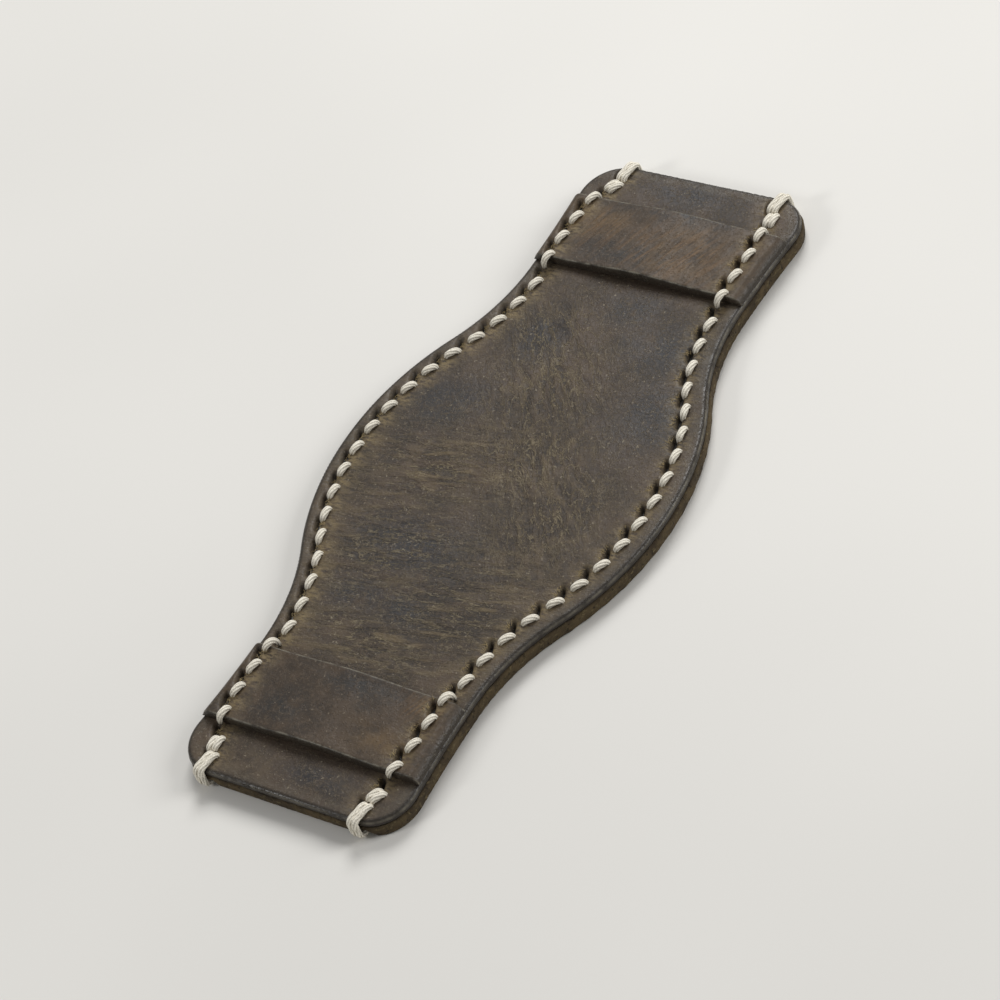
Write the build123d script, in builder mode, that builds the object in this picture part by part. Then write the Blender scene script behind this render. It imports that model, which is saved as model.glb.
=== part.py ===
from build123d import *
import os
from math import cos, sin, radians

# Pad of a bund watch strap. X runs across the pad, Y along it, Z up through the leather.
# The origin is the middle of the underside. Sizes are in millimetres.

# Outline of the pad, symmetric both ways
pad_length = 95.8
centre_width = 45.0  # under the watch case
neck_width = 29.6  # narrowest place
neck_reach = 30.0  # from the middle to the narrowest place
shoulder_share = 0.56  # part of the way to the neck that the round middle takes
end_width = 31.7
corner_radius = 5.5

# Leather
lining_thickness = 1.8
top_thickness = 0.9
bridge_thickness = 1.2
edge_bevel = 0.35  # burnished rim of the top leather and the lining
bridge_bevel = 0.3

# The two bridges, strips that hold the strap down on the pad
bridge_setback = 6.5  # from the end of the pad
bridge_width = 10.4
bridge_bow = 0.45  # how far the middle of a bridge stands off the pad
bridge_seat = 4.4  # width that is sewn flat, at each side
skive_width = 1.1  # sides of a bridge, pared down towards the rim
skive_thickness = 0.5  # left at the rim

# Saddle-stitched seams, one along each side
stitch_pitch = 3.4
seam_inset = 2.45  # from the rim to the seam
seam_straight = 6.0  # straight stretch past the neck, before the seam turns in
end_hole_inset = 5.05  # from the side of the pad's end to the end holes
end_hole_setback = 2.0  # from the end of the pad to the end holes

# Thread, its holes and its groove
thread_width = 0.8
thread_clearance = 0.05
strand_spacing = 0.94  # between neighbouring strands in one hole
slit_angle = 75.0  # degrees from the seam to the slit
slit_tip = 0.35  # pointed end of a slit past its strands
thread_sides = 6

# Sizes that follow
pad_top = lining_thickness + top_thickness
bridge_top = pad_top + bridge_thickness
half_length = pad_length / 2
bridge_reach = half_length - bridge_setback - bridge_width  # from the middle to a bridge
end_hole_spread = end_width - 2 * end_hole_inset  # between the seams' end holes
thread_radius = thread_width / 2
slit_width = thread_width + 2 * thread_clearance
lift = thread_radius + thread_clearance  # centre of a strand above the leather it lies on
mouth = 4 * thread_clearance  # where a strand starts to bend over, above its leather
groove_depth = thread_width + mouth
groove_width = strand_spacing + thread_width + 2 * slit_tip
foot = thread_width + 3 * thread_clearance  # from a bridge to where a strand starts to climb


def inward(edge, share, distance):
    """Point at a share of an edge, moved square to it towards the middle of the pad."""
    along = edge % share
    return edge @ share + Vector(-along.Y, along.X) * distance


def quarter_rim(inset):
    """One quarter of the rim, moved inwards: round middle, neck and flared end."""
    bulge = TangentArc(
        inward(rim_bulge, 0, inset), inward(rim_bulge, 1, inset), tangent=(0, 1)
    )
    neck = TangentArc(bulge @ 1, inward(rim_neck, 1, inset), tangent=bulge % 1)
    return bulge, neck


# Outline of the pad
with BuildSketch() as outline:
    with BuildLine():
        rim_middle, rim_narrow = Vector(centre_width / 2, 0), Vector(neck_width / 2, neck_reach)
        rim_shoulder = rim_middle + (rim_narrow - rim_middle) * shoulder_share
        rim_bulge = TangentArc(rim_middle, rim_shoulder, tangent=(0, 1))
        rim_neck = TangentArc(rim_shoulder, rim_narrow, tangent=rim_bulge % 1)
        TangentArc(rim_neck @ 1, (end_width / 2, half_length), tangent=rim_neck % 1)
        mirror(about=Plane.YZ)
        Line((end_width / 2, half_length), (-end_width / 2, half_length))
        mirror(about=Plane.XZ)
    make_face()
    corners = outline.vertices().group_by(Axis.Y)
    fillet(corners[0] + corners[-1], corner_radius)

# Seam line of the upper right quarter, from the middle of the pad to the end hole
with BuildLine() as seam_quarter:
    seam_bulge, seam_neck = quarter_rim(seam_inset)
    seam_run = Line(seam_neck @ 1, seam_neck @ 1 + (seam_neck % 1) * seam_straight)
    TangentArc(
        seam_run @ 1,
        (end_hole_spread / 2, half_length - end_hole_setback),
        tangent=seam_run % 1,
    )
seam_wire = seam_quarter.wire()
half_count = round(seam_wire.length / stitch_pitch)
last = 2 * half_count  # number of the last hole; the first is 0, at the upper end


def seam_frame(side, hole):
    """Centre of a hole, and the seam's direction there, from the upper end down."""
    share = abs(half_count - hole) / half_count
    sign = 1 if hole <= half_count else -1
    centre, along = seam_wire @ share, seam_wire % share
    return (
        Vector(side * centre.X, sign * centre.Y),
        Vector(-side * sign * along.X, -along.Y),
    )


def row_direction(side, hole):
    """Direction in which the strands in a hole stand in a row."""
    if hole in (0, last):
        return Vector(1, 0)
    centre, along = seam_frame(side, hole)
    across = Vector(-along.Y, along.X)
    return along * cos(radians(slit_angle)) + across * sin(radians(slit_angle))


def strand(side, hole, number):
    """Place of a strand, counted along the row from the middle of its hole."""
    centre, along = seam_frame(side, hole)
    return centre + row_direction(side, hole) * (number * strand_spacing)


def strand_up(side, hole):
    """Place where a stitch on top comes up out of a hole."""
    if hole == 0:
        centre, along = seam_frame(side, hole)
        return centre + along * strand_spacing
    number = {1: 1, last - 1: 0, last: -1}.get(hole, 1 / 2)
    return strand(side, hole, number)


def strand_down(side, hole):
    """Place where a stitch on top goes down: the pad is the same turned end for end."""
    turned = strand_up(-side, last - hole)
    return Vector(-turned.X, -turned.Y)


def surface(point):
    """Height of the leather that a stitch lies on."""
    on_bridge = bridge_reach < abs(point.Y) < bridge_reach + bridge_width
    return bridge_top if on_bridge else pad_top


def raised(point, height):
    return Vector(point.X, point.Y, height)


def climb(start, end):
    """Points of a stitch on top where it goes up over the edge of a bridge."""
    points = []
    for reach in (bridge_reach, bridge_reach + bridge_width):
        share = (reach - abs(start.Y)) / (abs(end.Y) - abs(start.Y))
        if 0 < share < 1:
            edge = start + (end - start) * share
            low = edge - (end - start).normalized() * foot
            points.append(raised(low, pad_top + lift + 2 * thread_clearance))
            points.append(raised(edge, bridge_top + lift + thread_clearance))
    return points


def top_stitch(start, end):
    """Strand on top: out of one hole, over the leather, and into the next."""
    if surface(start) > surface(end):
        return top_stitch(end, start)[::-1]
    way = (end - start).normalized() * thread_radius
    return [
        raised(start, surface(start) + mouth),
        *(climb(start, end) or [raised(start + way, surface(start) + lift)]),
        raised(end - way, surface(end) + lift),
        raised(end, surface(end) + mouth),
    ]


def under_stitch(start, end):
    """Strand in the groove of the underside, from one hole to the next."""
    way = (end - start).normalized() * thread_radius
    return [
        raised(start, lift + thread_radius),
        raised(start + way, lift),
        raised(end - way, lift),
        raised(end, lift + thread_radius),
    ]


def wrap(start, end):
    """One turn: up out of an end hole, over the end of the pad and back below it."""
    out = Vector(0, 1 if start.Y > 0 else -1)
    rim = Vector(start.X, out.Y * (half_length + lift))
    back = (end - rim).normalized() * thread_radius
    return [
        raised(start, pad_top + mouth),
        raised(start + out * thread_radius, pad_top + lift),
        raised(rim - out * lift, pad_top + lift),
        raised(rim, pad_top),
        raised(rim, lift + thread_radius),
        raised(rim + back, lift),
        raised(end - back, lift),
        raised(end, lift + thread_radius),
    ]


def end_turns(side, hole):
    """Two turns round the end of the pad, then the second stitch of the doubled pair."""
    way = 1 if hole == 0 else -1
    return [
        *wrap(strand(side, hole, way), strand(side, hole, 0)),
        *wrap(strand(side, hole, 0), strand(side, hole, -way)),
        *top_stitch(strand(side, hole, -way), strand(side, hole + way, -way)),
    ]


def thread_route(side):
    """One thread with a needle at each end, sewn up the seam and back down again.

    It starts and ends inside the leather, in the last hole and the one before it.
    """
    up_run, down_run = [], []
    for hole in range(last):
        over = top_stitch(strand_up(side, hole), strand_down(side, hole + 1))
        under = under_stitch(strand_down(side, hole), strand_up(side, hole + 1))
        up_run += over if hole % 2 == 0 else under
        down_run += under if hole % 2 == 0 else over
    return [
        raised(strand_down(side, last), pad_top / 2),
        *down_run[::-1],
        *end_turns(side, 0),
        *under_stitch(strand(side, 1, -1), strand_up(side, 0)),
        *up_run,
        *end_turns(side, last),
        raised(strand(side, last - 1, 1), pad_top / 2),
    ]


def thread_along(route):
    """Six-sided thread in straight runs, mitred at each bend of its route."""
    with BuildPart() as thread:
        with BuildLine():
            Polyline(*route)
        with BuildSketch(Plane(route[0], z_dir=route[1] - route[0])):
            RegularPolygon(thread_radius, thread_sides)
        sweep(transition=Transition.RIGHT)
    return thread


def slit(count):
    """Pointed awl slit for a row of strands."""
    run = (count - 1) * strand_spacing / 2 + thread_radius
    return Polygon(
        (-run - slit_tip, 0),
        (-run, -slit_width / 2),
        (run, -slit_width / 2),
        (run + slit_tip, 0),
        (run, slit_width / 2),
        (-run, slit_width / 2),
    )


def hole_plane(side, hole):
    """Plane of the underside, at a hole, with its x along the row of strands."""
    centre, along = seam_frame(side, hole)
    return Plane(centre, x_dir=row_direction(side, hole), z_dir=(0, 0, 1))


def end_plane(side, hole):
    """Plane of the underside, at an end hole, with its x into the seam."""
    centre, along = seam_frame(side, hole)
    return Plane(centre, x_dir=along * (1 if hole == 0 else -1), z_dir=(0, 0, 1))


# Awl holes, right through the leathers: two strands in most, three in the holes
# of the doubled stitches, and four in the end holes
seams = (1, -1)
ends = [(side, hole) for side in seams for hole in (0, last)]
with BuildPart() as awl_holes:
    with BuildSketch(*[hole_plane(side, hole) for side in seams for hole in range(2, last - 1)]):
        slit(2)
    with BuildSketch(*[hole_plane(side, hole) for side in seams for hole in (1, last - 1)]):
        slit(3)
    with BuildSketch(*[hole_plane(side, hole) for side, hole in ends]):
        Rectangle(2 * strand_spacing + slit_width, slit_width)
    with BuildSketch(*[end_plane(side, hole) for side, hole in ends]):
        with Locations((strand_spacing / 2, 0)):
            Rectangle(strand_spacing + slit_width, slit_width)
    extrude(amount=bridge_top + bridge_bow)

# Groove for the strands below: narrow along the seam, wide where the thread is doubled
with BuildSketch() as groove:
    with BuildLine():
        add(seam_quarter.line)
        mirror(about=Plane.YZ)
        mirror(about=Plane.XZ)
    trace(line_width=groove_width)
    with GridLocations(end_hole_spread, pad_length, 2, 2):
        Rectangle(2 * strand_spacing + slit_width, 2 * end_hole_setback)
for side, hole in ends:
    next_hole = 1 if hole == 0 else last - 1
    with BuildSketch() as pocket:
        for number in (-1, 1):
            with Locations(strand(side, hole, number), strand(side, next_hole, number)):
                Circle(slit_width / 2 + slit_tip)
        make_hull()
    groove.sketch_local += pocket.sketch

# Lining, the thick lower leather that lies on the wrist
with BuildPart() as wrist_lining:
    extrude(outline.sketch, amount=lining_thickness)
    chamfer(wrist_lining.edges().group_by(Axis.Z)[0], edge_bevel)
    extrude(groove.sketch, amount=groove_depth, mode=Mode.SUBTRACT)
    add(awl_holes.part, mode=Mode.SUBTRACT)

# Top leather, the thin upper layer with the same outline
with BuildPart() as top_leather:
    with BuildSketch(Plane.XY.offset(lining_thickness)):
        add(outline.sketch)
    extrude(amount=top_thickness)
    chamfer(top_leather.edges().group_by(Axis.Z)[-1], edge_bevel)
    add(awl_holes.part, mode=Mode.SUBTRACT)

# Upper bridge: a strip across the pad, sewn flat at its sides and free in the middle.
# Its sides are pared to a slope. The lower one is the same piece turned end for end.
half_span = neck_width / 2 - bridge_seat  # half of the width that is free
with BuildPart() as upper_bridge:
    with BuildSketch(Plane.XZ.offset(-bridge_reach)):
        with BuildLine():
            under = Spline(
                (-half_span, pad_top),
                (0, pad_top + bridge_bow),
                (half_span, pad_top),
                tangents=[(1, 0), (1, 0)],
            )
            Line(under @ 1, (centre_width / 2, pad_top))
            Line((centre_width / 2, pad_top), (centre_width / 2, bridge_top))
            Line((centre_width / 2, bridge_top), (half_span, bridge_top))
            Spline(
                (half_span, bridge_top),
                (0, bridge_top + bridge_bow),
                (-half_span, bridge_top),
                tangents=[(-1, 0), (-1, 0)],
            )
            Line((-half_span, bridge_top), (-centre_width / 2, bridge_top))
            Line((-centre_width / 2, bridge_top), (-centre_width / 2, pad_top))
            Line((-centre_width / 2, pad_top), under @ 0)
        make_face()
    extrude(amount=-bridge_width)
    extrude(outline.sketch, amount=bridge_top + bridge_bow, mode=Mode.INTERSECT)
    for seat in upper_bridge.faces().filter_by(Axis.Z).group_by(Axis.Z)[-1]:
        side = seat.edges().sort_by(lambda edge: abs(edge.center().X))[-1]
        chamfer(side, skive_width, bridge_thickness - skive_thickness, reference=seat)
    walls = upper_bridge.faces().filter_by(Axis.Y)
    chamfer(walls.edges().sort_by(Axis.Z)[-6:], bridge_bevel)
    add(awl_holes.part, mode=Mode.SUBTRACT)
with BuildPart() as lower_bridge:
    add(upper_bridge.part.rotate(Axis.Z, 180))

# Waxed threads, one to a seam
right_seam_thread = thread_along(thread_route(1))
left_seam_thread = thread_along(thread_route(-1))

os.makedirs("parts", exist_ok=True)
wrist_lining.part.label = "wrist_lining"
export_step(wrist_lining.part, "parts/wrist_lining.step")
top_leather.part.label = "top_leather"
export_step(top_leather.part, "parts/top_leather.step")
upper_bridge.part.label = "upper_bridge"
export_step(upper_bridge.part, "parts/upper_bridge.step")
lower_bridge.part.label = "lower_bridge"
export_step(lower_bridge.part, "parts/lower_bridge.step")
right_seam_thread.part.label = "right_seam_thread"
export_step(right_seam_thread.part, "parts/right_seam_thread.step")
left_seam_thread.part.label = "left_seam_thread"
export_step(left_seam_thread.part, "parts/left_seam_thread.step")
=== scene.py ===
import bpy
import math
import numpy as np
from mathutils import Matrix, Vector


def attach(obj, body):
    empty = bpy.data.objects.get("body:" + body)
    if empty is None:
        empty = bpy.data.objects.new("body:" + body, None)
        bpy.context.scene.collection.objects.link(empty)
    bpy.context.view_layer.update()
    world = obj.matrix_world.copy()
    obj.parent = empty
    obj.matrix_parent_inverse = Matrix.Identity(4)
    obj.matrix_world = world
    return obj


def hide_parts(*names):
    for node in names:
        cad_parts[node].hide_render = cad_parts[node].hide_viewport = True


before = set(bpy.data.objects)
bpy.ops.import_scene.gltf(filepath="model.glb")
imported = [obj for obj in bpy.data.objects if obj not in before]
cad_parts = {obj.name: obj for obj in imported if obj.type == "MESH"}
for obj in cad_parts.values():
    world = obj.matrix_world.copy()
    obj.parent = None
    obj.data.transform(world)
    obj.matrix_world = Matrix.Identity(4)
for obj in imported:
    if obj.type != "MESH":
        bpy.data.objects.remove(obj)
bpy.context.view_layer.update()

# Lengths in the settings are millimetres of the real pad; mm turns them into the frame's metres
mm = 0.001

# The rim of the pad, symmetric both ways
rim = {
    "halfLength": 47.9,
    "halfCentre": 22.5,      # half width under the watch
    "halfNeck": 14.8,
    "neckReach": 30.0,
    "shoulderShare": 0.56,   # part of the way to the neck that the round middle takes
    "halfEnd": 15.85,
    "cornerRadius": 5.5,
}

# Height of the top leather above the wrist side
padTop = 2.7

bridge = {
    "near": 31.0,            # from the middle of the pad to the near edge
    "far": 41.4,
    "thickness": 1.2,
    "pared": 0.38,           # thickness left at the rim
    "paring": 1.2,           # width that is pared down
    "bow": 0.45,
    "halfFree": 10.4,        # half of the width that isn't sewn down
}

seam = {
    "inset": 2.45,
    "straight": 6.0,
    "endHoleX": 10.8,
    "endHoleY": 45.9,
    "pitch": 3.4,
    "furrowWidth": 0.7,
    "furrowDepth": 0.09,
}

# Awl slits: all point the same way, and the thread sits on the right side of each
slit = {"length": 1.85, "width": 0.58, "depth": 1.1, "shift": -0.84, "turn": 110.0}

# Rubbed leather round a hole
rubbed = {
    "inwards": 0.5,          # from the hole towards the middle of the pad
    "across": 1.5,
    "along": 1.4,
    "sink": 0.06,
    "reach": 3.0,            # past which a hole leaves no mark
}


# Colour as it is written on screen, turned to the linear values that shaders take
def linear(hexText):
    channels = [int(hexText[i:i + 2], 16) / 255 for i in (1, 3, 5)]
    return tuple(c / 12.92 if c <= 0.04045 else ((c + 0.055) / 1.055) ** 2.4 for c in channels) + (1.0,)


def smoothStep(value):
    value = np.clip(value, 0, 1)
    return value * value * (3 - 2 * value)


# Soft hills about size mm wide: a random value at each corner of a grid, blended with a smooth step.
# The grid repeats after so many cells, and its start is moved off the middle of the pad.
def valueNoise(x, y, size, seed, cells=64):
    table = np.random.default_rng(seed).uniform(-1, 1, (cells, cells))
    gx, gy = x / size + 1000.3, y / size + 1000.7
    ix, iy = np.floor(gx).astype(int), np.floor(gy).astype(int)
    fx, fy = smoothStep(gx - ix), smoothStep(gy - iy)
    left, right, near, far = ix % cells, (ix + 1) % cells, iy % cells, (iy + 1) % cells
    lower = table[left, near] * (1 - fx) + table[right, near] * fx
    upper = table[left, far] * (1 - fx) + table[right, far] * fx
    return lower * (1 - fy) + upper * fy


# The same hills drawn out along a direction given in degrees, for creases
def creaseNoise(x, y, width, length, turn, seed):
    c, s = math.cos(math.radians(turn)), math.sin(math.radians(turn))
    return valueNoise((x * c + y * s) * width / length, -x * s + y * c, width, seed)


# Radius of the arc that leaves a line tangentially and is off it by drop after run
def tangentRadius(drop, run):
    return (drop * drop + run * run) / (2 * drop)


shoulderX = rim["halfCentre"] + (rim["halfNeck"] - rim["halfCentre"]) * rim["shoulderShare"]
shoulderY = rim["neckReach"] * rim["shoulderShare"]
bulgeRadius = tangentRadius(rim["halfCentre"] - shoulderX, shoulderY)
neckRadius = tangentRadius(shoulderX - rim["halfNeck"], rim["neckReach"] - shoulderY)
flareRadius = tangentRadius(rim["halfEnd"] - rim["halfNeck"], rim["halfLength"] - rim["neckReach"])


# Half width at a height y: a round middle, a hollow neck, a flared end and a quarter circle at the corner
def halfWidth(y):
    y = np.abs(y)
    bulge = rim["halfCentre"] - bulgeRadius + np.sqrt(np.maximum(bulgeRadius ** 2 - y ** 2, 0))
    toNeck = np.clip(rim["neckReach"] - y, 0, neckRadius)
    neck = rim["halfNeck"] + neckRadius - np.sqrt(neckRadius ** 2 - toNeck ** 2)
    past = np.clip(y - rim["neckReach"], 0, None)
    flare = rim["halfNeck"] + flareRadius - np.sqrt(flareRadius ** 2 - past ** 2)
    width = np.where(y < shoulderY, bulge, np.where(y < rim["neckReach"], neck, flare))
    intoCorner = np.clip(y - (rim["halfLength"] - rim["cornerRadius"]), 0, rim["cornerRadius"])
    return width - rim["cornerRadius"] + np.sqrt(rim["cornerRadius"] ** 2 - intoCorner ** 2)


# Rows of a sheet from end to end, gathered towards the ends by a sine so that the corners stay round
def rowHeights(half, count, gather=0.35):
    even = np.linspace(-1, 1, count)
    return half * ((1 - gather) * even + gather * np.sin(even * math.pi / 2))


# Shortest distance from each place to a run of points, worked out in batches to spare memory
def distanceTo(points, x, y, batch=4000):
    flat = np.column_stack([x.ravel(), y.ravel()])
    parts = np.array_split(flat, max(1, len(flat) // batch))
    nearest = [np.sqrt(((part[:, None, :] - points[None]) ** 2).sum(2).min(1)) for part in parts]
    return np.concatenate(nearest).reshape(x.shape)


sidePoints, acrossPoints = 900, 90
rimY = rowHeights(rim["halfLength"], sidePoints, 0.96)
rimX = halfWidth(rimY)
endX = np.linspace(-rimX[-1], rimX[-1], acrossPoints)
rimPoints = np.vstack([
    np.column_stack([rimX, rimY]), np.column_stack([-rimX, rimY]),
    np.column_stack([endX, np.full(acrossPoints, rim["halfLength"])]),
    np.column_stack([endX, np.full(acrossPoints, -rim["halfLength"])]),
])


# Distance in from the rim at each place of a grid whose border is the rim
def insideRim(x, y):
    distance = distanceTo(rimPoints, x, y)
    distance[[0, -1]] = distance[:, [0, -1]] = 0
    return distance


# Values round the border of a grid, once round
def aroundGrid(grid):
    return np.concatenate([grid[0, :-1], grid[:-1, -1], grid[-1, :0:-1], grid[:0:-1, 0]])


# Quarter of the seam from the middle up: the two rim arcs moved inwards, a straight run, an arc to the end hole
quarterY = np.linspace(0, seam["endHoleY"], 3000)
innerBulge, outerNeck = bulgeRadius - seam["inset"], neckRadius + seam["inset"]
bulgeX = rim["halfCentre"] - bulgeRadius + np.sqrt(np.maximum(innerBulge ** 2 - quarterY ** 2, 0))
toNeck = np.clip(rim["neckReach"] - quarterY, 0, outerNeck)
neckX = rim["halfNeck"] + neckRadius - np.sqrt(outerNeck ** 2 - toNeck ** 2)
bendStart = rim["neckReach"] + seam["straight"]
bendX = rim["halfNeck"] - seam["inset"]
bendRadius = tangentRadius(bendX - seam["endHoleX"], seam["endHoleY"] - bendStart)
bendX = bendX - bendRadius + np.sqrt(bendRadius ** 2 - np.clip(quarterY - bendStart, 0, None) ** 2)
quarterX = np.where(quarterY < shoulderY * innerBulge / bulgeRadius, bulgeX,
                    np.where(quarterY < rim["neckReach"], neckX, bendX))
quarterRun = np.concatenate([[0], np.cumsum(np.hypot(np.diff(quarterX), np.diff(quarterY)))])
halfHoles = int(round(quarterRun[-1] / seam["pitch"]))
lastHole = 2 * halfHoles


# Place of holes, counted from the upper end, and the way down the seam there; parts of a hole are allowed.
# The way is the chord over a tenth of a millimetre.
def seamPlace(side, hole):
    hole = np.asarray(hole, float)
    run = np.abs(halfHoles - hole) / halfHoles * quarterRun[-1]
    upper = np.where(hole <= halfHoles, 1.0, -1.0)
    ahead = np.minimum(run + 0.05, quarterRun[-1])
    behind = np.maximum(ahead - 0.1, 0)
    dx = np.interp(ahead, quarterRun, quarterX) - np.interp(behind, quarterRun, quarterX)
    dy = np.interp(ahead, quarterRun, quarterY) - np.interp(behind, quarterRun, quarterY)
    size = np.hypot(dx, dy)
    return (side * np.interp(run, quarterRun, quarterX), upper * np.interp(run, quarterRun, quarterY),
            -side * upper * dx / size, -dy / size)


everyStep = np.linspace(0, lastHole, 1200)
seamPoints = np.vstack([np.column_stack(seamPlace(side, everyStep)[:2]) for side in (1, -1)])
print("holes in a seam:", lastHole + 1)


# Leather top that a stitch lies on
def leatherTop(y):
    onBridge = (np.abs(y) > bridge["near"]) & (np.abs(y) < bridge["far"])
    return padTop + np.where(onBridge, bridge["thickness"], 0)


# Marks of the sewing: how deep the leather sinks, how much painted shade the slits hold and how rubbed it is.
# The thread's furrow is a bell across the seam, each awl slit a narrow bell along the slit, and each halo a wide
# bell inwards of its hole.
def seamMarks(x, y):
    depth = seam["furrowDepth"] * np.exp(-(distanceTo(seamPoints, x, y) / seam["furrowWidth"]) ** 2)
    dark, halo = np.zeros_like(x), np.zeros_like(x)
    sx, sy = math.cos(math.radians(slit["turn"])), math.sin(math.radians(slit["turn"]))
    for side in (1, -1):
        for hx, hy in np.column_stack(seamPlace(side, np.arange(lastHole + 1))[:2]):
            near = (np.abs(x - hx) < rubbed["reach"]) & (np.abs(y - hy) < rubbed["reach"])
            px, py = x[near] - hx, y[near] - hy
            u, v = (px - slit["shift"]) * sx + py * sy, -(px - slit["shift"]) * sy + py * sx
            bell = np.exp(-np.abs(2 * u / slit["length"]) ** 3 - (2 * v / slit["width"]) ** 2)
            inwards = (px + rubbed["inwards"] * side) / rubbed["across"]
            soft = np.exp(-inwards ** 2 - (py / rubbed["along"]) ** 2)
            depth[near] += slit["depth"] * bell + rubbed["sink"] * soft
            dark[near] = np.maximum(dark[near], bell)
            halo[near] = np.maximum(halo[near], soft)
    return depth, dark, halo * (1 - dark)


# Part of each place that soft ovals cover: centre, half sizes and turn in degrees, each falling off as a bell
def spotShare(spots, x, y):
    total = np.zeros_like(x)
    for cx, cy, rx, ry, turn in spots:
        c, s = math.cos(math.radians(turn)), math.sin(math.radians(turn))
        u, v = (x - cx) * c + (y - cy) * s, -(x - cx) * s + (y - cy) * c
        total = np.maximum(total, np.exp(-(u / rx) ** 2 - (v / ry) ** 2))
    return total


# Drop of an edge that is rounded with a radius: the arc's height at a distance in from the edge
def roundDrop(distance, radius):
    inside = np.clip(radius - distance, 0, radius)
    return radius - np.sqrt(radius ** 2 - inside ** 2)


# Columns of a sheet, by distance in from the rim: close at the rounded rim, even over the seam, wide in the middle
def sheetGrid(rowY, sheet):
    inFromRim = np.concatenate([sheet["rimSteps"], np.arange(1.1, sheet["fineReach"], sheet["fineStep"])])
    width = halfWidth(rowY)[:, None] - sheet.get("inset", 0)
    reach = np.minimum(sheet["fineReach"], width * 0.9)
    right = width - inFromRim[None, :] * reach / sheet["fineReach"]
    middle = (width - reach) * np.linspace(-1, 1, sheet["middle"])[None, :]
    x = np.concatenate([-right, middle, right[:, ::-1]], axis=1)
    return x, np.repeat(rowY[:, None], x.shape[1], axis=1)


# Tubes along paths of shape (tubes, points, 3). The section is an oval, widest along sides, whose radius has one
# lobe for each ply, and the lobes turn with the distance along the path. Each tube starts at its own turn.
# Returns vertices, faces and depth of the grooves, which the thread's material uses as painted shade.
def plyTubes(paths, sides, radii, look, closed=False):
    tubes = len(paths)
    tangent = np.roll(paths, -1, 1) - np.roll(paths, 1, 1) if closed else np.gradient(paths, axis=1)
    up = np.cross(sides, tangent)
    up /= np.linalg.norm(up, axis=2, keepdims=True)
    across = np.cross(tangent, up)
    across /= np.linalg.norm(across, axis=2, keepdims=True)
    steps = np.linalg.norm(np.diff(paths, axis=1), axis=2)
    run = np.concatenate([np.zeros((tubes, 1)), np.cumsum(steps, axis=1)], axis=1)
    if closed:
        whole = run[:, -1:] + steps[:, :1]
        run = run / whole * np.round(whole / look["lay"] * look["plies"]) / look["plies"] * look["lay"]
    angle = np.linspace(0, 2 * math.pi, look["around"], endpoint=False)
    starts = 1.7 * np.arange(tubes)[:, None, None]
    turned = angle + 2 * math.pi * run[:, :, None] / look["lay"] + starts
    groove = 1 - np.abs(np.cos(turned * look["plies"] / 2)) ** 0.55
    radius = radii[:, :, None] * (1 - look["plyDepth"] * groove)
    ring = (paths[:, :, None] + across[:, :, None] * (radius * np.cos(angle))[..., None]
            + up[:, :, None] * (radius * np.sin(angle) * look["flatten"])[..., None])
    index = np.arange(groove.size).reshape(groove.shape)
    corners = [index, np.roll(index, -1, 2), np.roll(np.roll(index, -1, 2), -1, 1), np.roll(index, -1, 1)]
    if not closed:
        corners = [corner[:, :-1] for corner in corners]
    faces = np.stack(corners, -1).reshape(-1, 4).tolist()
    if not closed:
        faces += index[:, 0, ::-1].tolist() + index[:, -1].tolist()
    return ring.reshape(-1, 3), faces, groove.reshape(-1) ** 1.5


# Mesh piece with one number per vertex for each named attribute
def buildMesh(name, vertices, faces, attributes, material):
    mesh = bpy.data.meshes.new(name)
    mesh.from_pydata((np.asarray(vertices) * mm).tolist(), [], faces)
    for key, values in attributes.items():
        mesh.attributes.new(key, "FLOAT", "POINT").data.foreach_set("value", np.asarray(values, np.float32))
    mesh.polygons.foreach_set("use_smooth", np.ones(len(mesh.polygons), bool))
    mesh.materials.append(material)
    mesh.update()
    piece = bpy.data.objects.new(name, mesh)
    bpy.context.scene.collection.objects.link(piece)
    return piece


# Waves along the cut edges: their two lengths, and how far they move on from one ring to the next
cutWaves = {"long": 1.1, "short": 0.35, "apart": 3.1}


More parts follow.
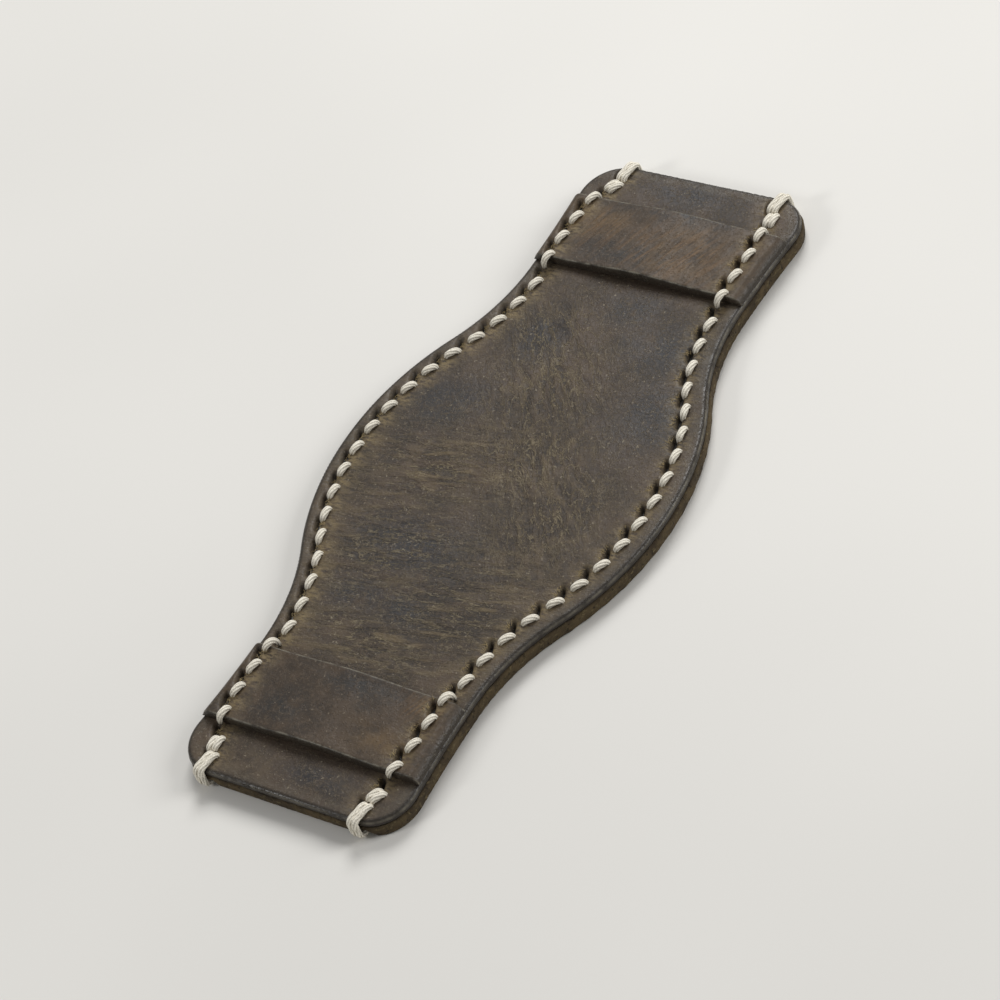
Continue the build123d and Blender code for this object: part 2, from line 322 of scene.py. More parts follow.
# Shell from a grid of points, a wall of rings round its border, and a closing face or grid.
# A ring is the border pushed outwards by its first number, to its second, a height or one height for each point.
# The wobble makes the cut edge uneven: waves of two lengths along the border, other ones on each ring. Ring
# shares are the attributes' values on the rings.
# A shell that faces down has its grid below and its rings above. Loose parts, as tubes give them, may be added.
def buildShell(name, x, y, z, rings, wobble, attributes, ringShares, material,
               facesUp=True, closing=None, loose=()):
    index = np.arange(x.size).reshape(x.shape)
    border = aroundGrid(index)
    bx, by = x.ravel()[border], y.ravel()[border]
    tx, ty = np.roll(bx, -1) - np.roll(bx, 1), np.roll(by, -1) - np.roll(by, 1)
    size = np.hypot(tx, ty)
    run = np.cumsum(size) / 2
    vertices = [np.column_stack([x.ravel(), y.ravel(), z.ravel()])]
    corners = index[:-1, :-1], index[:-1, 1:], index[1:, 1:], index[1:, :-1]
    quads = np.column_stack([corner.ravel() for corner in corners])
    faces = [quads]
    values = {key: [value.ravel()] for key, value in attributes.items()}
    last, start = border, x.size
    for number, (outward, height) in enumerate(rings):
        level = np.full_like(run, number * cutWaves["apart"])
        waves = valueNoise(run, level, cutWaves["long"], 40) + 0.5 * valueNoise(run, level, cutWaves["short"], 60)
        push = outward + wobble * waves
        vertices.append(np.column_stack([bx + ty / size * push, by - tx / size * push, height + 0 * bx]))
        ring = start + np.arange(len(border))
        faces.append(np.column_stack([last, ring, np.roll(ring, -1), np.roll(last, -1)]))
        last, start = ring, start + len(border)
        for key in values:
            values[key].append(np.full(len(border), ringShares.get(key, [0] * len(rings))[number]))
    if closing is None:
        faces.append(last[None, ::-1])
    else:
        vertices.append(np.column_stack([x.ravel(), y.ravel(), closing.ravel()]))
        under = border + start
        faces += [start + quads[:, ::-1], np.column_stack([last, under, np.roll(under, -1), np.roll(last, -1)])]
        start += x.size
        for key in values:
            values[key].append(np.zeros(x.size))
    faces = [face for part in faces for face in part[:, ::1 if facesUp else -1].tolist()]
    for points, tubeFaces, _ in loose:
        vertices.append(points)
        faces += [[corner + start for corner in face] for face in tubeFaces]
        start += len(points)
        for key in values:
            values[key].append(np.full(len(points), 1.0 if key == "tuft" else 0.0))
    return buildMesh(name, np.vstack(vertices), faces, {k: np.concatenate(v) for k, v in values.items()}, material)


# A node with its settings, and its inputs as values or links; gives one of its outputs
def addNode(tree, kind, inputs, output=0, **settings):
    node = tree.nodes.new("ShaderNode" + kind)
    for key, value in settings.items():
        setattr(node, key, value)
    for socket, value in inputs.items():
        if isinstance(value, bpy.types.NodeSocket):
            tree.links.new(value, node.inputs[socket])
        else:
            node.inputs[socket].default_value = value
    return node.outputs[output]


# Material from a list of layers, each laid over those before it. A layer shows where its noise, drawn out by
# stretch and turned, rises from low to high, or along fine lines where the noise is within ridge of its middle
# value, and where its mesh attribute is one; most is its share there. It may also raise the surface or roughen it.
def layeredMaterial(name, look):
    material = bpy.data.materials.new(name)
    material.use_nodes = True
    tree = material.node_tree
    tree.nodes.clear()
    shader = tree.nodes.new("ShaderNodeBsdfPrincipled")
    shader.inputs["Specular IOR Level"].default_value = look.get("shine", 0.5)
    tree.links.new(shader.outputs[0], tree.nodes.new("ShaderNodeOutputMaterial").inputs[0])
    place = addNode(tree, "TexCoord", {}, "Object")
    colour, height, rough = linear(look["colour"]), 0.0, look["rough"]
    for layer in look["layers"]:
        share = layer.get("most", 1.0)
        if "size" in layer:
            mapped = addNode(tree, "Mapping", {
                "Vector": place, "Rotation": (0, 0, math.radians(layer.get("turn", 0))),
                "Scale": (*layer.get("stretch", (1, 1)), 1)}, vector_type="TEXTURE")
            noise = addNode(tree, "TexNoise", {
                "Vector": mapped, "Scale": 1 / (layer["size"] * mm), "Detail": layer.get("detail", 4.0),
                "Roughness": 0.6, "Distortion": layer.get("warp", 0.0)})
            low, high = layer.get("low", 0), layer.get("high", 0)
            if "ridge" in layer:
                offset = addNode(tree, "Math", {0: noise, 1: 0.5}, operation="SUBTRACT")
                noise, low = addNode(tree, "Math", {0: offset}, operation="ABSOLUTE"), layer["ridge"]
            span = {"Value": noise, "From Min": low, "From Max": high, "To Max": share}
            share = addNode(tree, "MapRange", span, interpolation_type="SMOOTHSTEP")
        if "where" in layer:
            covered = addNode(tree, "Attribute", {}, "Fac", attribute_name=layer["where"])
            share = addNode(tree, "Math", {0: covered, 1: share}, operation="MULTIPLY")
        colour = addNode(tree, "Mix", {0: share, 6: colour, 7: linear(layer["colour"])}, 2, data_type="RGBA")
        if "relief" in layer:
            height = addNode(tree, "Math", {0: share, 1: layer["relief"], 2: height}, operation="MULTIPLY_ADD")
        if "roughen" in layer:
            rough = addNode(tree, "Math", {0: share, 1: layer["roughen"], 2: rough}, operation="MULTIPLY_ADD")
    bump = addNode(tree, "Bump", {"Strength": look["bump"], "Distance": 0.1 * mm, "Height": height})
    for socket, value in (("Base Color", colour), ("Roughness", rough), ("Normal", bump)):
        if isinstance(value, bpy.types.NodeSocket):
            tree.links.new(value, shader.inputs[socket])
        else:
            shader.inputs[socket].default_value = value
    return material


# Waxed pull-up leather. Wax and oil lie unevenly in the grain: flats are dark, oily patches bluish, and where the
# leather was bent it turns olive, with fine pale creases between dark ones. Sewing left tan halos; the slits and
# the joint under the rim are painted black as shade, and a pale line along the top of the edges is a painted
# highlight.
waxedPullUp = layeredMaterial("waxedPullUpLeather", {
    "colour": "#4a3e33", "rough": 0.5, "shine": 0.26, "bump": 0.9,
    "layers": [
        {"colour": "#393129", "size": 8.0, "low": 0.42, "high": 0.6, "detail": 6.0, "roughen": 0.06},
        {"colour": "#544839", "where": "bent", "size": 2.4, "low": 0.42, "high": 0.66, "detail": 7.0},
        {"colour": "#2a2521", "where": "levelCrease", "size": 1.0, "stretch": (4.5, 1.0), "turn": 8.0,
         "low": 0.44, "high": 0.6, "detail": 5.0, "warp": 0.4, "relief": -0.8, "most": 0.85},
        {"colour": "#6a5c44", "where": "levelCrease", "size": 1.2, "stretch": (5.0, 1.0), "turn": 12.0,
         "low": 0.52, "high": 0.64, "detail": 5.0, "warp": 0.4, "relief": 0.5, "most": 0.8},
        {"colour": "#2a2521", "where": "slantCrease", "size": 1.0, "stretch": (3.0, 1.0), "turn": -54.0,
         "low": 0.44, "high": 0.6, "detail": 5.0, "warp": 0.6, "relief": -0.8, "most": 0.8},
        {"colour": "#625541", "where": "slantCrease", "size": 1.2, "stretch": (3.2, 1.0), "turn": -50.0,
         "low": 0.52, "high": 0.64, "detail": 5.0, "warp": 0.6, "relief": 0.5, "most": 0.65},
        {"colour": "#2b2b2d", "where": "oily", "size": 2.8, "low": 0.22, "high": 0.54, "detail": 5.0,
         "roughen": -0.08, "most": 0.94},
        {"colour": "#7c7159", "where": "levelCrease", "size": 1.4, "stretch": (4.0, 1.0), "turn": 10.0,
         "ridge": 0.024, "detail": 4.0, "warp": 0.4, "relief": 0.9, "most": 0.7},
        {"colour": "#7a6f59", "where": "slantCrease", "size": 1.4, "stretch": (2.6, 1.0), "turn": -52.0,
         "ridge": 0.03, "detail": 4.0, "warp": 0.6, "relief": 0.9, "most": 0.9},
        {"colour": "#685c49", "size": 0.8, "ridge": 0.028, "detail": 3.0, "warp": 0.6, "most": 0.6, "relief": 0.4},
        {"colour": "#584d41", "size": 0.45, "low": 0.46, "high": 0.7, "detail": 2.0, "most": 0.4, "relief": 0.4},
        {"colour": "#241f19", "size": 0.3, "low": 0.6, "high": 0.72, "detail": 2.0, "most": 0.4, "relief": -0.5},
        {"colour": "#8d8370", "size": 0.42, "low": 0.64, "high": 0.72, "detail": 3.0, "most": 0.65},
        {"colour": "#756c5b", "size": 0.3, "stretch": (6.0, 0.7), "turn": 35.0, "low": 0.65, "high": 0.74,
         "most": 0.5},
        {"colour": "#564f44", "where": "rimBand", "size": 1.5, "low": 0.3, "high": 0.6, "most": 0.4,
         "roughen": -0.2},
        {"colour": "#7b6c4f", "where": "halo", "size": 0.32, "stretch": (3.0, 1.0), "low": 0.36, "high": 0.6,
         "most": 0.85},
        # painted shade: black in the slits of the sewing and in the joint under the rim
        {"colour": "#0b0907", "where": "slitAndJointShade"},
        {"colour": "#2b2825", "where": "burnish", "most": 0.85, "roughen": -0.2},
        # painted highlight: a pale line along the top of the rim edge
        {"colour": "#7c7668", "where": "arrisHighlight", "size": 1.6, "low": 0.3, "high": 0.7, "detail": 4.0, "most": 0.75},
        {"colour": "#a3916b", "where": "tuft", "roughen": 0.5},
    ],
})

# The same leather from a warmer part of the hide: orange-brown pull-up streaks fan across the bridges
waxedPullUpWarm = layeredMaterial("waxedPullUpLeatherWarm", {
    "colour": "#463a2e", "rough": 0.48, "shine": 0.28, "bump": 0.9,
    "layers": [
        {"colour": "#362d24", "size": 5.0, "low": 0.42, "high": 0.6, "detail": 6.0, "roughen": 0.06},
        {"colour": "#58462e", "where": "bent", "size": 2.6, "low": 0.36, "high": 0.62, "detail": 7.0},
        {"colour": "#2d2b29", "where": "oily", "size": 2.0, "low": 0.34, "high": 0.6, "detail": 7.0,
         "roughen": -0.06},
        {"colour": "#30261d", "where": "slantCrease", "size": 0.5, "stretch": (8.0, 1.0), "turn": 80.0,
         "low": 0.48, "high": 0.68, "detail": 5.0, "warp": 0.3, "relief": -0.5, "most": 0.6},
        {"colour": "#6e5333", "where": "slantCrease", "size": 0.5, "stretch": (9.0, 1.0), "turn": 66.0,
         "low": 0.44, "high": 0.66, "detail": 5.0, "warp": 0.3, "relief": 0.4, "most": 0.66},
        {"colour": "#5e503e", "size": 1.3, "ridge": 0.02, "detail": 3.0, "warp": 1.5, "most": 0.4, "relief": 0.4},
        {"colour": "#56493b", "size": 0.45, "low": 0.46, "high": 0.7, "detail": 2.0, "most": 0.4, "relief": 0.4},
        {"colour": "#231e18", "size": 0.3, "low": 0.6, "high": 0.72, "detail": 2.0, "most": 0.4, "relief": -0.5},
        {"colour": "#877b68", "size": 0.4, "low": 0.65, "high": 0.73, "detail": 3.0, "most": 0.6},
        {"colour": "#7b6c4f", "where": "halo", "size": 0.32, "stretch": (3.0, 1.0), "low": 0.36, "high": 0.6,
         "most": 0.85},
        # painted shade: black in the slits of the sewing
        {"colour": "#0b0907", "where": "slitAndJointShade"},
        {"colour": "#342f28", "where": "burnish", "size": 0.5, "low": 0.15, "high": 0.4, "most": 0.95,
         "roughen": -0.2},
        {"colour": "#645d50", "where": "burnish", "size": 0.35, "low": 0.56, "high": 0.68, "most": 0.7,
         "relief": 0.8},
        # painted highlight: a pale line along the top of the bridge edges
        {"colour": "#8a8475", "where": "arrisHighlight", "size": 1.2, "low": 0.35, "high": 0.65, "detail": 4.0,
         "most": 0.85},
        {"colour": "#a3916b", "where": "tuft", "roughen": 0.5},
    ],
})

# Vegetable-tanned lining with its flesh side and raw cut edge: matt, fibrous, mottled ochre to dark brown
fleshSide = layeredMaterial("vegetableTannedFleshSide", {
    "colour": "#52452f", "rough": 0.86, "shine": 0.3, "bump": 1.0,
    "layers": [
        {"colour": "#2f261b", "size": 2.4, "low": 0.36, "high": 0.68, "detail": 7.0, "relief": -1.2, "most": 0.8},
        {"colour": "#77694a", "size": 0.4, "stretch": (1.6, 1.6), "low": 0.5, "high": 0.7, "detail": 5.0,
         "most": 0.8, "relief": 1.6},
        {"colour": "#211a12", "size": 0.5, "low": 0.58, "high": 0.68, "most": 0.8, "relief": -1.0},
        # painted shade: dark in the holes and in the joint under the top leather
        {"colour": "#171009", "where": "slitAndJointShade"},
    ],
})

# Waxed linen: cream plies with painted shade in the grooves between them, and painted shade where the thread dives
# into the holes
waxedLinen = layeredMaterial("waxedTwistedLinen", {
    "colour": "#f0eadb", "rough": 0.6, "bump": 0.5,
    "layers": [
        {"colour": "#cfc6b2", "size": 0.14, "low": 0.45, "high": 0.7, "detail": 4.0, "relief": -0.6},
        # painted shade in the grooves between the plies
        {"colour": "#5f5542", "where": "groove", "most": 0.95},
        # painted shade on the thread where it dives into the holes
        {"colour": "#2b2318", "where": "sunkShade", "most": 0.92},
    ],
})
print("materials:", ", ".join(made.name for made in (waxedPullUp, waxedPullUpWarm, fleshSide, waxedLinen)))

# Fibres that the awl pulled up at the holes
tuft = {
    "count": 14, "points": 6,
    "length": 0.9, "shortest": 0.35, "radius": 0.022,
    "inwards": 0.4,              # from the slit to the roots
    "scatter": (0.15, 0.45),     # of the roots, across and along the pad
    "fan": 1.1, "bend": 0.8,     # in radians
    "rooted": 0.06, "rise": 0.14,
    "plies": 1, "plyDepth": 0.0, "lay": 5.0, "around": 4, "flatten": 1.0,
}


# Thin hairs that fan out on the inner side: each is an arc in plan, and rises and falls as part of a sine
def awlTufts(side, holes, seed):
    rng = np.random.default_rng(seed)
    hx, hy = seamPlace(side, np.repeat(holes, tuft["count"]))[:2]
    number = len(hx)
    way = np.where(side > 0, math.pi, 0.0) + rng.uniform(-tuft["fan"], tuft["fan"], number)
    length = tuft["length"] * rng.uniform(tuft["shortest"], 1.0, number)
    bend = rng.uniform(-tuft["bend"], tuft["bend"], number)
    share = np.linspace(0, 1, tuft["points"])[None, :]
    angle = way[:, None] + bend[:, None] * share
    rootX = hx + slit["shift"] - tuft["inwards"] * side + rng.normal(0, tuft["scatter"][0], number)
    rootY = hy + rng.normal(0, tuft["scatter"][1], number)
    x = rootX[:, None] + np.cos(angle) * length[:, None] * share
    y = rootY[:, None] + np.sin(angle) * length[:, None] * share
    rise = tuft["rise"] * rng.uniform(0.5, 1, number)[:, None]
    z = leatherTop(hy)[:, None] - tuft["rooted"] + rise * np.sin(share * 2.4)
    paths = np.stack([x, y, z], -1)
    sides = np.stack([-np.sin(angle), np.cos(angle), 0 * angle], -1)
    return plyTubes(paths, sides, tuft["radius"] * (1.1 - share) + 0 * x, tuft)


padHoles = [hole for hole in range(1, lastHole) if leatherTop(seamPlace(1, hole)[1]) == padTop]
upperHoles = [hole for hole in range(1, halfHoles) if hole not in padHoles]
lowerHoles = [lastHole - hole for hole in upperHoles]

# Distances in from an edge of the grid lines that round it, for all the sheets
edgeSteps = [0, 0.02, 0.07, 0.15, 0.27, 0.42]

# Top leather: flat, with a rounded and burnished rim, soft hills, creases and the marks of the sewing.
# Its spots are ovals: centre, half sizes and turn in degrees.
topLeather = {
    "rows": 470, "rimSteps": edgeSteps + [0.62, 0.85], "fineStep": 0.19, "fineReach": 5.4, "middle": 84,
    "edgeRadius": 0.46, "hills": 0.05, "hillSizes": (5.0, 2.1), "creases": 0.055,
    "levelCrease": (0.9, 5.0, 10, 5), "slantCrease": (0.9, 4.0, -38, 6),   # width, length, turn and seed
    "band": (1.9, 0.8),      # glossy band along the rim: its reach, and how far it fades out
    "burnished": 0.5,        # reach of the burnish
    "arrisHighlight": (0.06, 0.06),   # painted highlight line: its distance in from the rim, and its half width
    "wall": [(0.02, 2.2), (0.01, 2.0), (-0.05, 1.87), (-0.15, 1.81)], "wobble": 0.025,
    "gap": 0.06,             # left under the bridges
    "oily": [(-13, 8, 6, 4, 15), (13, 13, 5, 6, 0), (-7, 20, 3, 3.5, 0), (2, 27, 4, 3, 0),
             (-4.5, -12.5, 8.5, 4.5, 0), (-7, -20.5, 5, 2.5, 0), (-1, 45.3, 6.5, 2.2, 0),
             (3, -44.5, 5, 1.8, 0), (9, 22, 6, 4, 0), (-1, -21, 4, 2, 0)],
    "bent": [(-9, -1.5, 11, 5.5, 12), (-3, 14, 6, 7, -30), (-2, -26.5, 12, 3.2, 0), (6, 4, 7, 5, 0),
             (-14, -14, 4, 7, 0), (12, -9, 8, 9, 0), (-1, 3, 8, 5, 0), (-7, -45.5, 7, 2, 0),
             (9, -44.5, 5, 2, 0)],
    "level": [(-9, -2, 12, 6, 12), (-2, -26, 12, 4, 0), (-8, -14, 9, 8, 0), (5, -18, 10, 9, 0)],
    "slant": [(-2, 13, 7, 8, -30), (3, 3, 8, 6, 0), (-6, 21, 6, 5, 0), (9, -4, 6, 8, 0)],
}
rows = rowHeights(rim["halfLength"], topLeather["rows"])
rows = np.sort(np.concatenate([rows, np.outer([-1, 1], rim["halfLength"] - np.array([0.03, 0.1])).ravel()]))
gx, gy = sheetGrid(rows, topLeather)
toRim = insideRim(gx, gy)
depth, dark, halo = seamMarks(gx, gy)
level, slant = spotShare(topLeather["level"], gx, gy), spotShare(topLeather["slant"], gx, gy)
creases = level * creaseNoise(gx, gy, *topLeather["levelCrease"])
creases += slant * creaseNoise(gx, gy, *topLeather["slantCrease"])
wide, narrow = topLeather["hillSizes"]
hills = topLeather["hills"] * (valueNoise(gx, gy, wide, 3) + 0.5 * valueNoise(gx, gy, narrow, 4))
z = padTop - roundDrop(toRim, topLeather["edgeRadius"]) - depth * smoothStep(toRim / 0.5)
z += (hills + topLeather["creases"] * creases) * smoothStep((toRim - 0.3) / 1.2)
covered = (np.abs(gy) > bridge["near"] - 0.2) & (np.abs(gy) < bridge["far"] + 0.2) & (toRim > 0.2)
z = np.where(covered, np.minimum(z, padTop - topLeather["gap"]), z)
bandReach, bandFade = topLeather["band"]
arrisPlace, arrisHalf = topLeather["arrisHighlight"]
attributes = {
    "oily": spotShare(topLeather["oily"], gx, gy), "bent": spotShare(topLeather["bent"], gx, gy),
    # painted shade in the slits of the sewing
    "levelCrease": level, "slantCrease": slant, "halo": halo, "slitAndJointShade": dark,
    "rimBand": smoothStep((bandReach - toRim) / bandFade),
    "burnish": np.exp(-(toRim / topLeather["burnished"]) ** 4), "tuft": 0 * gx,
    "arrisHighlight": np.exp(-((toRim - arrisPlace) / arrisHalf) ** 2),
}
topSheet = buildShell(
    "topLeatherSheet", gx, gy, z, topLeather["wall"], topLeather["wobble"], attributes,
    # the lowest wall rings get painted shade where the top leather meets the lining
    {"burnish": [0.95, 0.9, 0.9, 0.9], "slitAndJointShade": [0, 0, 0.4, 0.9]}, waxedPullUp,
    loose=[awlTufts(1, padHoles, 21), awlTufts(-1, padHoles, 22)])
print("top leather faces:", len(topSheet.data.polygons))

# Wrist lining, seen from below: rounded rim, a groove that takes the stitches and runs out at the ends, and
# holes in it with painted shade. Its last rings get painted shade too, where the two leathers meet, and no ring is
# below the rim that the groove has raised.
lining = {
    "rows": 330, "rimSteps": edgeSteps + [0.65, 0.9], "fineStep": 0.28, "fineReach": 5.4, "middle": 46,
    "edgeRadius": 0.4, "grooveDepth": 0.95, "grooveHalf": 0.95, "grooveSpread": 0.5, "wobble": 0.08,
    "nap": 0.03, "napSize": 0.9,
    "wall": [(0.06, 0.6), (0.11, 0.95), (0.11, 1.38), (0.04, 1.6), (-0.06, 1.74), (-0.16, 1.79)],
}
gx, gy = sheetGrid(rowHeights(rim["halfLength"], lining["rows"]), lining)
toRim = insideRim(gx, gy)
holeX = seam["endHoleX"] + lining["grooveSpread"] * np.array([-1, 0, 1])
holeY = np.linspace(seam["endHoleY"], rim["halfLength"] + 1, 14)
quarters = np.array([(1, 1), (-1, 1), (1, -1), (-1, -1)])[:, None]
endPoints = (np.stack(np.meshgrid(holeX, holeY), -1).reshape(1, -1, 2) * quarters).reshape(-1, 2)
toSeam = distanceTo(np.vstack([seamPoints, endPoints]), gx, gy)
z = roundDrop(toRim, lining["edgeRadius"]) + lining["grooveDepth"] * np.exp(-(toSeam / lining["grooveHalf"]) ** 6)
z += lining["nap"] * np.abs(valueNoise(gx, gy, lining["napSize"], 7)) * smoothStep(toRim)
border = aroundGrid(z)
liningSheet = buildShell(
    "wristLiningLeather", gx, gy, z,
    [(outward, np.maximum(height, border + 0.02 * outward)) for outward, height in lining["wall"]],
    # painted shade in the holes, and on the last rings where the two leathers meet
    lining["wobble"], {"slitAndJointShade": 0.6 * seamMarks(gx, gy)[1]}, {"slitAndJointShade": [0, 0, 0, 0.1, 0.5, 0.9]}, fleshSide,
    facesUp=False)
print("lining faces:", len(liningSheet.data.polygons))

# Bridges, with dark burnished edges
strip = {
    "rows": 74, "rimSteps": edgeSteps + [0.62, 0.85], "fineStep": 0.19, "fineReach": 5.4, "middle": 60,
    "inset": 0.06, "edgeRadius": 0.24, "sideRadius": 0.3, "sideShare": 0.6, "hills": 0.05, "hillSizes": (4.0, 1.3),
    "markShare": 1.3,        # the marks of the sewing are deeper here by this
    "burnished": (0.18, 0.42),   # reach of the burnish from the edges and from the sides
    # painted highlight line: its distance in from the edge, and its half width
    "arrisHighlight": (0.1, 0.07),
    "wall": [(0.04, 0.75), (0.05, 0.5), (0.03, 0.25), (-0.04, 0.05)],   # outwards, and part of the height
    "wobble": 0.03,
    "thinnest": 0.2,
    "oily": [(-2, 33.5, 8, 2, 0), (0, 41, 9, 1.6, 0), (-6, -38, 5, 2.5, 0), (2, -32.5, 6, 1.8, 0)],
    "bent": [(4, 35.5, 9, 4.5, 0), (-9, 38, 5, 2.5, 0), (9, -38.5, 5, 2, 0)],
    "slant": [(4, 35.5, 10, 4.5, 0), (-9, 37, 5, 3.5, 0), (11, -33, 3, 2, 0)],
}


# A strip that bows up in one cosine hump, and whose sides are pared down to the rim in a quarter sine
def bridgeSheet(name, way, holes):
    low, high = sorted((way * bridge["near"], way * bridge["far"]))
    edge, between = np.array(edgeSteps), np.linspace(low + 0.6, high - 0.6, strip["rows"])
    gx, gy = sheetGrid(np.concatenate([low + edge, between, high - edge[::-1]]), strip)
    toSide, toEdge = np.abs(gx[:, :1]) - np.abs(gx), np.minimum(gy - low, high - gy)
    depth, dark, halo = seamMarks(gx, gy)
    base = padTop + bridge["bow"] * (0.5 + 0.5 * np.cos(math.pi * np.clip(gx / bridge["halfFree"], -1, 1)))
    full = np.sin(np.clip(toSide / bridge["paring"], 0, 1) * math.pi / 2)
    pared = bridge["pared"] + (bridge["thickness"] - bridge["pared"]) * full
    wide, narrow = strip["hillSizes"]
    hills = strip["hills"] * (valueNoise(gx, gy, wide, 13) + 0.6 * valueNoise(gx, gy, narrow, 14))
    sideDrop = strip["sideShare"] * roundDrop(toSide, strip["sideRadius"])
    top = base + pared - roundDrop(toEdge, strip["edgeRadius"]) - sideDrop
    marks = -strip["markShare"] * depth * smoothStep(toEdge / 0.5)
    top += marks + hills * smoothStep(np.minimum(toEdge, toSide))
    top = np.maximum(top, base + strip["thinnest"])
    border, rimTop = aroundGrid(base), aroundGrid(top)
    rings = [(outward, border + share * (rimTop - border)) for outward, share in strip["wall"]]
    alongEdge, alongSide = strip["burnished"]
    arrisPlace, arrisHalf = strip["arrisHighlight"]
    attributes = {
        "oily": spotShare(strip["oily"], gx, gy), "bent": spotShare(strip["bent"], gx, gy),
        # painted shade in the slits of the sewing
        "slantCrease": spotShare(strip["slant"], gx, gy), "halo": halo, "slitAndJointShade": dark,
        "burnish": np.maximum(np.exp(-(toEdge / alongEdge) ** 2), np.exp(-(toSide / alongSide) ** 2)),
        "tuft": 0 * gx, "arrisHighlight": np.exp(-((toEdge - arrisPlace) / arrisHalf) ** 2),
    }
    return buildShell(
        name, gx, gy, top, rings, strip["wobble"], attributes, {"burnish": [0.8, 0.7, 0.75, 0.9]}, waxedPullUpWarm,
        closing=base, loose=[awlTufts(1, holes, 31 + way), awlTufts(-1, holes, 41 + way)])


upperBridge = bridgeSheet("upperBridgeLeather", 1, upperHoles)
lowerBridge = bridgeSheet("lowerBridgeLeather", -1, lowerHoles)
print("bridge faces:", len(upperBridge.data.polygons))

thread = {
    "radius": 0.445, "flatten": 0.88, "plies": 6, "plyDepth": 0.3, "lay": 7.2, "around": 36,
    "points": 40,            # of a stitch, from hole to hole
    "halfStitch": 0.83,
    "slant": 0.34,           # half of the sideways step from end to end of a stitch
    "rise": 0.24,            # middle of the thread above the leather at the crown
    "dive": 1.0,
    "flatTop": 3.0, "steepEnds": 0.8,   # powers of a stitch's arch
    "endShare": 0.6,         # of the radius, at the ends of a stitch
    "belowZ": 0.52,          # middle of the thread on the wrist side
    "double": 0.34,          # half of the distance between doubled strands
    "wrapHalfY": 1.38, "wrapY": 46.98, "wrapLow": 0.5, "wrapHigh": 3.02,
    "wrapRound": 0.42,       # power of the rounded box; 1 is an oval
    "wrapLean": 0.14, "wrapThin": 0.9, "wrapPoints": 96,
}


# Stitches between each hole and the next, slanted, flat on top and diving into the leather at both ends. One that
# crosses the edge of a bridge runs from the edge down to its lower hole in a quarter sine.
def stitchTubes(side, holes, shift, below):
    holes = np.asarray(holes, float)
    midX, midY, ax, ay = [value[:, None] for value in seamPlace(side, holes + 0.5)]
    share = np.linspace(-1, 1, thread["points"])[None, :]
    slant = -thread["slant"] if below else thread["slant"]
    along = np.sin(share * math.pi / 2) * thread["halfStitch"]
    sideways = np.asarray(shift)[:, None] - slant * share
    x, y = midX + ax * along - ay * sideways, midY + ay * along + ax * sideways
    arch = np.maximum(1 - np.abs(share) ** thread["flatTop"], 0) ** thread["steepEnds"]
    if below:
        z = thread["belowZ"] + thread["dive"] * (1 - arch) + 0 * x
    else:
        firstY, secondY = seamPlace(side, holes)[1][:, None], seamPlace(side, holes + 1)[1][:, None]
        firstTop, secondTop = leatherTop(firstY), leatherTop(secondY)
        outer = np.abs(firstY + secondY) > bridge["near"] + bridge["far"]
        edges = np.where(outer, bridge["far"], bridge["near"])
        lowY = np.where(firstTop < secondTop, firstY, secondY)
        climbed = np.clip((np.abs(y) - np.abs(lowY)) / (edges - np.abs(lowY)), 0, 1)
        step = np.abs(firstTop - secondTop) * np.sin(climbed * math.pi / 2)
        z = np.minimum(firstTop, secondTop) + step + thread["rise"] - thread["dive"] * (1 - arch)
    half = thread["halfStitch"]
    sides = np.stack([ax * slant - ay * half, ax * half + ay * slant, 0 * ax], -1)
    sides = np.repeat(sides / np.linalg.norm(sides, axis=2, keepdims=True), thread["points"], 1)
    plump = thread["endShare"] + (1 - thread["endShare"]) * np.cos(share * math.pi / 2) ** 0.6
    radii = thread["radius"] * plump + 0 * x
    # share of painted shade: the ends of a stitch that dive into the holes
    sunkShade = np.repeat((1 - arch + 0 * x) ** 2, thread["around"])
    return (*plyTubes(np.stack([x, y, z], -1), -sides, radii, thread), sunkShade)


# Two turns round the end of the pad: a rounded box through the end hole and over the end edge, leaning sideways
def wrapTubes(side, way):
    angle = np.linspace(0, 2 * math.pi, thread["wrapPoints"], endpoint=False)
    c, s = np.cos(angle), np.sin(angle)
    halfZ = (thread["wrapHigh"] - thread["wrapLow"]) / 2
    y = thread["wrapHalfY"] * np.sign(c) * np.abs(c) ** thread["wrapRound"]
    z = thread["wrapLow"] + halfZ + halfZ * np.sign(s) * np.abs(s) ** thread["wrapRound"]
    strands = np.array([-1, 1])[:, None] * thread["double"]
    x = side * seam["endHoleX"] + strands + thread["wrapLean"] * way * y[None]
    paths = np.stack([x, 0 * x + way * (thread["wrapY"] + y), 0 * x + z], -1)[:, ::way]
    sides = np.broadcast_to([float(way), 0, 0], paths.shape)
    tubes = plyTubes(paths, sides, 0 * x + thread["wrapThin"] * thread["radius"], thread, closed=True)
    return (*tubes, np.zeros(x.size * thread["around"]))


# The whole thread of a seam: single stitches, the doubled end ones, the row below and the turns round the ends
def seamThread(name, side):
    ends, pair = [0, 0, lastHole - 1, lastHole - 1], thread["double"] * np.array([-1, 1, -1, 1])
    parts = [
        stitchTubes(side, range(1, lastHole - 1), [0] * (lastHole - 2), False),
        stitchTubes(side, ends, pair, False),
        stitchTubes(side, range(lastHole), [0] * lastHole, True),
        wrapTubes(side, 1), wrapTubes(side, -1),
    ]
    points, tubeFaces, groove, sunkShade = zip(*parts)
    starts = np.cumsum([0] + [len(part) for part in points]).tolist()
    faces = [[corner + start for corner in face] for part, start in zip(tubeFaces, starts) for face in part]
    shares = {"groove": np.concatenate(groove), "sunkShade": np.concatenate(sunkShade)}
    return buildMesh(name, np.vstack(points), faces, shares, waxedLinen)


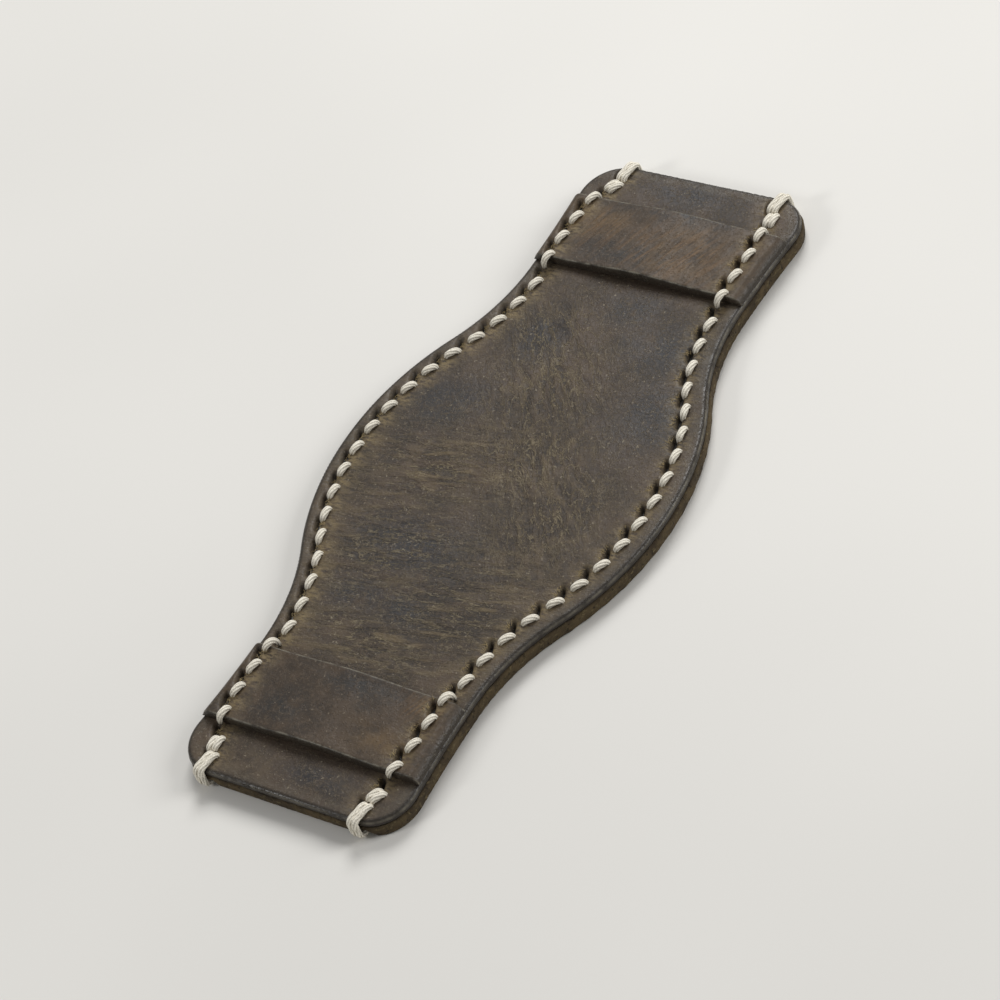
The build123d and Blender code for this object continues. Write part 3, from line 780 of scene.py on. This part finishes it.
rightThread = seamThread("rightSeamStitches", 1)
leftThread = seamThread("leftSeamStitches", -1)
print("thread faces:", len(rightThread.data.polygons))

for piece, node, slotName in (
    (topSheet, "top_leather", "top_leather"),
    (liningSheet, "wrist_lining", "lining_leather"),
    (upperBridge, "upper_bridge", "bridge_leather"),
    (lowerBridge, "lower_bridge", "bridge_leather"),
    (rightThread, "right_seam_thread", "thread"),
    (leftThread, "left_seam_thread", "thread"),
):
    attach(piece, "root")
    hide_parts(node)

# Studio paper: matt and pale, with tones too soft to see as a pattern
palePaper = layeredMaterial("palePaperSweep", {
    "colour": "#dddbd6", "rough": 0.9, "bump": 0.1,
    "layers": [
        {"colour": "#d4d2cd", "size": 120.0, "low": 0.3, "high": 0.7, "detail": 2.0, "most": 0.6, "relief": 0.1},
    ],
})
floorHalf = 3000
floorCorners = [(x * floorHalf, y * floorHalf, 0) for x, y in ((-1, -1), (1, -1), (1, 1), (-1, 1))]
floor = buildMesh("floor", floorCorners, [[0, 1, 2, 3]], {}, palePaper)


# A square lamp at a place, turned to face the pad
def softLamp(name, place, size, power):
    lamp = bpy.data.lights.new(name, "AREA")
    lamp.shape, lamp.size, lamp.energy = "SQUARE", size, power
    holder = bpy.data.objects.new(name, lamp)
    holder.location = place
    holder.rotation_euler = (-Vector(place)).to_track_quat("-Z", "Y").to_euler()
    bpy.context.scene.collection.objects.link(holder)


softLamp("keyLamp", (-0.16, 0.42, 0.46), 0.3, 2.9)
softLamp("rimLamp", (0.42, 0.24, 0.30), 0.25, 1.5)
softLamp("edgeLamp", (-0.26, -0.34, 0.30), 0.12, 0.65)
world = bpy.data.worlds.new("studioAir")
world.use_nodes = True
air = world.node_tree.nodes["Background"]
air.inputs["Color"].default_value = (1, 1, 1, 1)
air.inputs["Strength"].default_value = 0.25
bpy.context.scene.world = world
bpy.context.scene.view_settings.view_transform = "Standard"

# Camera of the photograph: a long lens from the lower right, about 44 degrees above the pad, turned on its axis
view = {
    "place": (0.24946, -0.20687, 0.31693),
    "right": (0.80471, 0.51001, -0.30386),
    "up": (-0.21940, 0.73108, 0.64605),
    "lens": 142.4,
}
right, up = Vector(view["right"]), Vector(view["up"])
camera = bpy.data.objects.new("camera", bpy.data.cameras.new("camera"))
camera.data.lens, camera.data.sensor_width = view["lens"], 36
camera.data.clip_start, camera.data.clip_end = 0.01, 20
axes = Matrix((right, up, right.cross(up))).transposed()
camera.matrix_world = Matrix.Translation(view["place"]) @ axes.to_4x4()
bpy.context.scene.collection.objects.link(camera)
bpy.context.scene.camera = camera
print("camera lens:", view["lens"])
